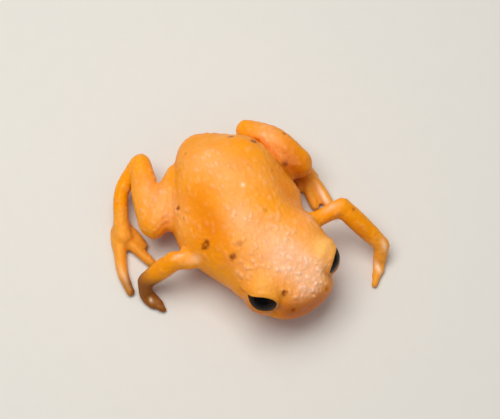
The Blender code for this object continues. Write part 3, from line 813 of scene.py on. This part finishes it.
def moist_skin(settings):
    """Moist amphibian skin: thin and slightly clear, so light softens in it, with a soft wet gloss."""
    material, tree = new_material("moist amphibian skin")
    place = add_node(tree, "ShaderNodeTexCoord").outputs["Object"]
    # Blotches of deeper orange, and painted shade of deep orange in the hollows and on the underside
    blotches = add_node(tree, "ShaderNodeTexNoise",
                        {"Vector": place, "Scale": MILLIMETRES / BLOTCH_SIZE, "Detail": 4.0}).outputs[0]
    mottle = add_node(tree, "ShaderNodeMapRange",
                      {"Value": blotches, "From Min": 0.35, "From Max": 0.68}).outputs[0]
    mottle = add_node(tree, "ShaderNodeMath", {0: mottle, 1: 0.3}, operation="MULTIPLY").outputs[0]
    colour = blend_colours(tree, mottle, (*settings.orange, 1), (*settings.deep_orange, 1))
    colour = blend_colours(tree, attribute(tree, "hollow_shade"), colour, (*settings.deep_orange, 1))
    # The tops of the grains are pale, partly their own tint and partly painted glints of wet light, most of
    # all in the pink patches, which are partly a painted sheen
    granule = attribute(tree, "granule")
    pale = add_node(tree, "ShaderNodeMath", {0: granule, 1: 0.4, 2: 0.6},
                    operation="MULTIPLY_ADD").outputs[0]
    pale = add_node(tree, "ShaderNodeMath", {0: attribute(tree, "pink_and_sheen"), 1: pale},
                    operation="MULTIPLY").outputs[0]
    pale = add_node(tree, "ShaderNodeMath", {0: granule, 1: 0.18, 2: pale}, operation="MULTIPLY_ADD",
                    use_clamp=True).outputs[0]
    colour = blend_colours(tree, pale, colour, (*settings.peach, 1))
    # Painted light among these tints: the domes' yellow is partly a painted highlight, the shade is painted
    # shade, the rim and the right hand's tint are partly painted shade, and the streaks are painted
    # highlights
    for name, share, tint in (("dome", 0.55, settings.dome_tint_and_highlight), ("shade", 0.9, settings.shaded_skin),
                              ("clear", 0.5, settings.clear_skin), ("dusky_and_shaded", 0.85, settings.dusky_and_shaded_skin),
                              ("rim", 0.6, settings.shaded_rim_skin), ("painted_highlight", 0.8, settings.highlight_paint)):
        part = add_node(tree, "ShaderNodeMath", {0: attribute(tree, name), 1: share}, operation="MULTIPLY")
        colour = blend_colours(tree, part.outputs[0], colour, (*tint, 1))
    # Brown marks, ragged as pigment is, and one painted shadow in a crease
    ragged = add_node(tree, "ShaderNodeTexNoise",
                      {"Vector": place, "Scale": MILLIMETRES / RAGGED_SIZE, "Detail": 2.0}).outputs[0]
    ragged = add_node(tree, "ShaderNodeMapRange", {"Value": ragged, "From Min": 0.3, "From Max": 0.6,
                                                   "To Min": 0.6, "To Max": 1.0}).outputs[0]
    marks = add_node(tree, "ShaderNodeMath", {0: attribute(tree, "brown"), 1: ragged}, operation="MULTIPLY")
    colour = blend_colours(tree, marks.outputs[0], colour, (*settings.brown, 1))
    wrinkles = add_node(tree, "ShaderNodeTexNoise",
                        {"Vector": place, "Scale": MILLIMETRES / WRINKLE_SIZE, "Detail": 3.0}).outputs[0]
    bump = add_node(tree, "ShaderNodeBump",
                    {"Height": wrinkles, "Distance": WRINKLE_DEPTH / MILLIMETRES, "Strength": 0.5})
    rough = add_node(tree, "ShaderNodeMapRange", {"Value": blotches, "From Min": 0.3, "From Max": 0.7,
                                                  "To Min": 0.33, "To Max": 0.45})
    shader = add_node(tree, "ShaderNodeBsdfPrincipled", {
        "Base Color": colour,
        "Roughness": rough.outputs[0],
        "Normal": bump.outputs[0],
        "IOR": 1.38,
        "Specular IOR Level": 0.3,
        "Specular Tint": (*settings.gloss, 1),
        "Subsurface Weight": 0.25,
        "Subsurface Radius": (1.0, 0.5, 0.15),
        "Subsurface Scale": SCATTER_DEPTH / MILLIMETRES,
        "Coat Weight": 0.08,
        "Coat Roughness": 0.22,
    })
    add_node(tree, "ShaderNodeOutputMaterial", {"Surface": shader.outputs[0]})
    return material


def wet_eye(settings):
    """A wet black eye: clear cornea over a nearly black iris, which gives a sharp small highlight."""
    material, tree = new_material("wet black cornea")
    colour = blend_colours(tree, attribute(tree, "iris"), (*settings.pupil, 1), (*settings.iris, 1))
    place = add_node(tree, "ShaderNodeTexCoord").outputs["Object"]
    streaks = add_node(tree, "ShaderNodeTexNoise",
                       {"Vector": place, "Scale": MILLIMETRES / IRIS_STREAK_SIZE, "Detail": 3.0}).outputs[0]
    rough = add_node(tree, "ShaderNodeMapRange",
                     {"Value": streaks, "To Min": 0.04, "To Max": 0.09}).outputs[0]
    shader = add_node(tree, "ShaderNodeBsdfPrincipled", {
        "Base Color": colour,
        "Roughness": rough,
        "IOR": 1.376,
        "Specular IOR Level": 0.12,
        "Coat Weight": 0.05,
        "Coat Roughness": 0.03,
    })
    add_node(tree, "ShaderNodeOutputMaterial", {"Surface": shader.outputs[0]})
    return material


def studio_paper(settings):
    """Matt pale paper: no gloss, so the toad's soft shadow lies on it evenly."""
    material, tree = new_material("matt pale paper")
    place = add_node(tree, "ShaderNodeTexCoord").outputs["Object"]
    fibres = add_node(tree, "ShaderNodeTexNoise",
                      {"Vector": place, "Scale": MILLIMETRES / FIBRE_CLOUD_SIZE, "Detail": 5.0}).outputs[0]
    share = add_node(tree, "ShaderNodeMapRange", {"Value": fibres, "To Min": 0.0, "To Max": 0.12}).outputs[0]
    colour = blend_colours(tree, share, (*settings.floor_colour, 1), (*settings.fibre_colour, 1))
    shader = add_node(tree, "ShaderNodeBsdfPrincipled", {"Base Color": colour, "Roughness": 0.9})
    add_node(tree, "ShaderNodeOutputMaterial", {"Surface": shader.outputs[0]})
    return material


# What a user may change

def colour_property(name, description, hex_colour):
    """A colour that a user may change, with its default as the usual hex value."""
    return bpy.props.FloatVectorProperty(name=name, description=description, subtype="COLOR", size=3,
                                         min=0.0, max=1.0, default=linear(hex_colour))


def length_property(name, description, default, **limits):
    """A length in millimetres that a user may change."""
    return bpy.props.FloatProperty(name=name, description=description + ", in millimetres",
                                   default=default, **limits)


class ToadSkinSettings(bpy.types.PropertyGroup):
    cell: length_property("Face size", "Size of the skin's faces", 0.105, min=0.06)
    gap: length_property("Bridged gap", "Half of the widest gap the skin bridges", 0.17)
    grain_spacing: length_property("Grain spacing", "From one grain to the next", 0.29)
    grain_height: length_property("Grain height", "How far the grains stand out", 0.09)
    grain_stretch: bpy.props.FloatProperty(
        name="Grain stretch", description="How much longer than wide the grains are", default=1.5)
    grain_unevenness: length_property("Grain unevenness", "How far the grains are bent", 0.35)
    grain_seed: bpy.props.IntProperty(name="Grain seed", description="Picks another pattern", default=4)
    eye_radius: length_property("Eye radius", "Radius that the lids close on", 1.07)
    lid_half_length: length_property("Lid half-length", "Half of the lids' opening", 0.9)
    upper_lid: length_property("Upper opening", "From the eye's middle to its upper lid", 0.18)
    lower_lid: length_property("Lower opening", "From the eye's middle to its lower lid", 0.76)
    lid_thickness: length_property("Lid thickness", "Of the edge of a lid", 0.08)
    lid_crease: length_property("Lid crease", "Depth of the fold above the upper lid", 0.015)
    mouth_depth: length_property("Mouth depth", "Depth of the mouth line", 0.2)
    mouth_half_width: length_property("Mouth half-width", "Half the width of the mouth line", 0.06)
    nostril_depth: length_property("Nostril depth", "Depth of the nostrils", 0.2)
    orange: colour_property("Orange", "Most of the skin", "#FA9E06")
    # Deep orange is the blotches' own colour, and also paints the shade in the hollows and on the underside
    deep_orange: colour_property("Deep orange", "Hollows and undersides", "#E67A00")
    # Peach is partly the grains' own pale tint and partly painted sheen and glints
    peach: colour_property("Peach", "Grains of the back and head", "#FFCDAC")
    # The domes' colour is partly a painted highlight
    dome_tint_and_highlight: colour_property("Domes", "Upper lids", "#FFCB80")
    shaded_skin: colour_property("Shaded skin", "Where the skin turns down", "#B0500A")
    clear_skin: colour_property("Clear skin", "Hands and feet", "#E8A043")
    # The right hand's colour: brownish skin, darkened with painted shade
    dusky_and_shaded_skin: colour_property("Dusky skin", "The right hand", "#703814")
    # The rim's colour is pinkish skin darkened with painted shade
    shaded_rim_skin: colour_property("Rim", "Edge of the lower lids", "#B0704E")
    # The colour of the painted highlights
    highlight_paint: colour_property("Streaks", "Where the limbs catch the light", "#FFE3C4")
    brown: colour_property("Brown", "Spots", "#701600")
    gloss: colour_property("Gloss", "Light that the wet skin throws back", "#FFD495")


class ToadEyeSettings(bpy.types.PropertyGroup):
    radius: length_property("Radius", "Radius of an eye", 1.07)
    bulge: length_property("Cornea bulge", "How far the cornea stands out", 0.03)
    pupil: colour_property("Pupil", "Middle of the eye", "#040202")
    iris: colour_property("Iris", "Ring round the pupil", "#1E0D05")


class ToadStudioSettings(bpy.types.PropertyGroup):
    azimuth: bpy.props.FloatProperty(
        name="Azimuth", description="Of the camera, from the front", subtype="ANGLE",
        default=math.radians(-26))
    elevation: bpy.props.FloatProperty(
        name="Elevation", description="Of the camera above the floor", subtype="ANGLE",
        default=math.radians(65))
    distance: bpy.props.FloatProperty(
        name="Distance", description="From the camera to its target", unit="LENGTH", default=0.1)
    lens: bpy.props.FloatProperty(
        name="Lens", description="Focal length, in millimetres", subtype="DISTANCE_CAMERA", default=112.3)
    key_power: bpy.props.FloatProperty(
        name="Key light", description="Power of the light above, in watts", default=0.1)
    fill_power: bpy.props.FloatProperty(
        name="Fill light", description="Power of the light from the front, in watts", default=0.004)
    surround: bpy.props.FloatProperty(
        name="Surround", description="Strength of the even light all round", default=0.3)
    floor_colour: colour_property("Floor", "Paper under the toad", "#DEDBD5")
    fibre_colour: colour_property("Fibres", "Darker fibres of the paper", "#C4C2BF")


# Operators

class TOAD_OT_skin(bpy.types.Operator):
    """Draw one skin over all the flesh, with lids, mouth, nostrils and grains"""
    bl_idname = "toad.skin"
    bl_label = "Skin"

    def execute(self, context):
        settings = context.scene.toad_skin
        thing = core_flesh(settings.eye_radius + EYE_COVER)
        even_out(thing, settings.cell)
        swell(thing, settings.gap)
        even_out(thing, settings.cell)
        swell(thing, -settings.gap)
        add_limbs(thing)
        keep_leg_gap(thing)
        even_out(thing, settings.cell)
        smooth_skin(thing)
        refine_skin(thing, settings)
        for rounds in LID_ROUNDS:
            shape_lids(thing, settings)
            refine(thing, lambda points: near_lids(points, settings), settings.cell * LONGEST_LID_EDGE)
            lids = near_lids(points_of(thing.data), settings)
            smooth_mesh(thing.data, rounds, lids.astype(float), IN_ONLY)
        cut_mouth(thing, settings)
        cut_nostrils(thing, settings)
        paint_skin(thing, settings)
        raise_grains(thing, settings, moist_skin(settings))
        press_on_floor(thing)
        finish_piece(thing, [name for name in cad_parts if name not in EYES])
        return {"FINISHED"}


class TOAD_OT_eyes(bpy.types.Operator):
    """Make the eyes, each a ball with a slightly bulging cornea"""
    bl_idname = "toad.eyes"
    bl_label = "Eyes"

    def execute(self, context):
        settings = context.scene.toad_eyes
        material = wet_eye(settings)
        for eye in EYES:
            look = eye_axes(eye)[0]
            ball = bmesh.new()
            bmesh.ops.create_uvsphere(ball, u_segments=64, v_segments=40, radius=settings.radius)
            turn = Vector((0, 0, 1)).rotation_difference(look).to_matrix().to_4x4()
            mesh = bpy.data.meshes.new(eye + "_wet")
            ball.to_mesh(mesh)
            ball.free()
            points = points_of(mesh)
            slope = np.arccos(np.clip(points[:, 2] / settings.radius, -1, 1))
            bulge = settings.bulge * (1 - step_up(slope, *CORNEA_EDGE))
            move_points(mesh, points * (1 + bulge / settings.radius)[:, None])
            write_attribute(mesh, "iris", step_up(slope, *PUPIL_EDGE))
            mesh.transform(Matrix.Translation(node_middle(eye)) @ turn)
            mesh.materials.append(material)
            thing = bpy.data.objects.new(eye + "_wet", mesh)
            context.scene.collection.objects.link(thing)
            finish_piece(thing, [eye])
        return {"FINISHED"}


def add_floor(settings):
    """Lay the paper just under the toad."""
    sheet = bmesh.new()
    bmesh.ops.create_grid(sheet, x_segments=4, y_segments=4, size=FLOOR_HALF_WIDTH)
    mesh = bpy.data.meshes.new("paper_floor")
    sheet.to_mesh(mesh)
    sheet.free()
    mesh.materials.append(studio_paper(settings))
    floor = bpy.data.objects.new("paper_floor", mesh)
    floor.location.z = -FLOOR_DROP
    bpy.context.scene.collection.objects.link(floor)


def add_camera(settings):
    """Set up the camera above and in front of the toad's right side."""
    target = (CAMERA_TARGET + toad_shift()) / MILLIMETRES
    back = Vector((math.sin(settings.azimuth) * math.cos(settings.elevation),
                   -math.cos(settings.azimuth) * math.cos(settings.elevation),
                   math.sin(settings.elevation)))
    camera = bpy.data.cameras.new("camera")
    camera.lens = settings.lens
    camera.sensor_width = SENSOR_WIDTH
    camera.sensor_fit = "HORIZONTAL"
    camera.clip_start, camera.clip_end = CAMERA_VIEW
    viewer = bpy.data.objects.new("camera", camera)
    viewer.location = target + back * settings.distance
    viewer.rotation_euler = back.to_track_quat("Z", "Y").to_euler()
    bpy.context.scene.collection.objects.link(viewer)
    bpy.context.scene.camera = viewer


def add_area_light(name, power):
    """Set up one of the soft lights, facing the toad."""
    place, size, colour = LIGHTS[name]
    light = bpy.data.lights.new(name, "AREA")
    light.shape = "RECTANGLE"
    light.size, light.size_y = size
    light.energy = power
    light.color = colour
    lamp = bpy.data.objects.new(name, light)
    lamp.location = place
    lamp.rotation_euler = (Vector(place) - Vector(LIT_POINT)).to_track_quat("Z", "Y").to_euler()
    bpy.context.scene.collection.objects.link(lamp)


class TOAD_OT_studio(bpy.types.Operator):
    """Set up the paper floor, the soft lights and the camera"""
    bl_idname = "toad.studio"
    bl_label = "Studio"

    def execute(self, context):
        settings = context.scene.toad_studio
        add_floor(settings)
        add_camera(settings)
        add_area_light("key", settings.key_power)
        add_area_light("fill", settings.fill_power)
        world = bpy.data.worlds.new("even light")
        world.use_nodes = True
        background = world.node_tree.nodes["Background"]
        background.inputs["Color"].default_value = SURROUND_COLOUR
        background.inputs["Strength"].default_value = settings.surround
        context.scene.world = world
        context.scene.view_settings.view_transform = "Standard"
        return {"FINISHED"}


class TOAD_PT_panel(bpy.types.Panel):
    """Sizes and colours of the toad, with a button for each of its pieces"""
    bl_label = "Flea toad"
    bl_idname = "TOAD_PT_panel"
    bl_space_type = "VIEW_3D"
    bl_region_type = "UI"
    bl_category = "Toad"

    def draw(self, context):
        for group, operator in (("toad_skin", "toad.skin"), ("toad_eyes", "toad.eyes"),
                                ("toad_studio", "toad.studio")):
            settings = getattr(context.scene, group)
            box = self.layout.box()
            for name in settings.bl_rna.properties.keys():
                if name not in ("rna_type", "name"):
                    box.prop(settings, name)
            box.operator(operator)


CLASSES = (ToadSkinSettings, ToadEyeSettings, ToadStudioSettings,
           TOAD_OT_skin, TOAD_OT_eyes, TOAD_OT_studio, TOAD_PT_panel)


def register():
    for item in CLASSES:
        bpy.utils.register_class(item)
    bpy.types.Scene.toad_skin = bpy.props.PointerProperty(type=ToadSkinSettings)
    bpy.types.Scene.toad_eyes = bpy.props.PointerProperty(type=ToadEyeSettings)
    bpy.types.Scene.toad_studio = bpy.props.PointerProperty(type=ToadStudioSettings)


def unregister():
    del bpy.types.Scene.toad_skin
    del bpy.types.Scene.toad_eyes
    del bpy.types.Scene.toad_studio
    for item in reversed(CLASSES):
        bpy.utils.unregister_class(item)


def main():
    register()
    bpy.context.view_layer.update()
    bpy.ops.toad.skin()
    bpy.ops.toad.eyes()
    bpy.ops.toad.studio()


if __name__ == "__main__":
    main()
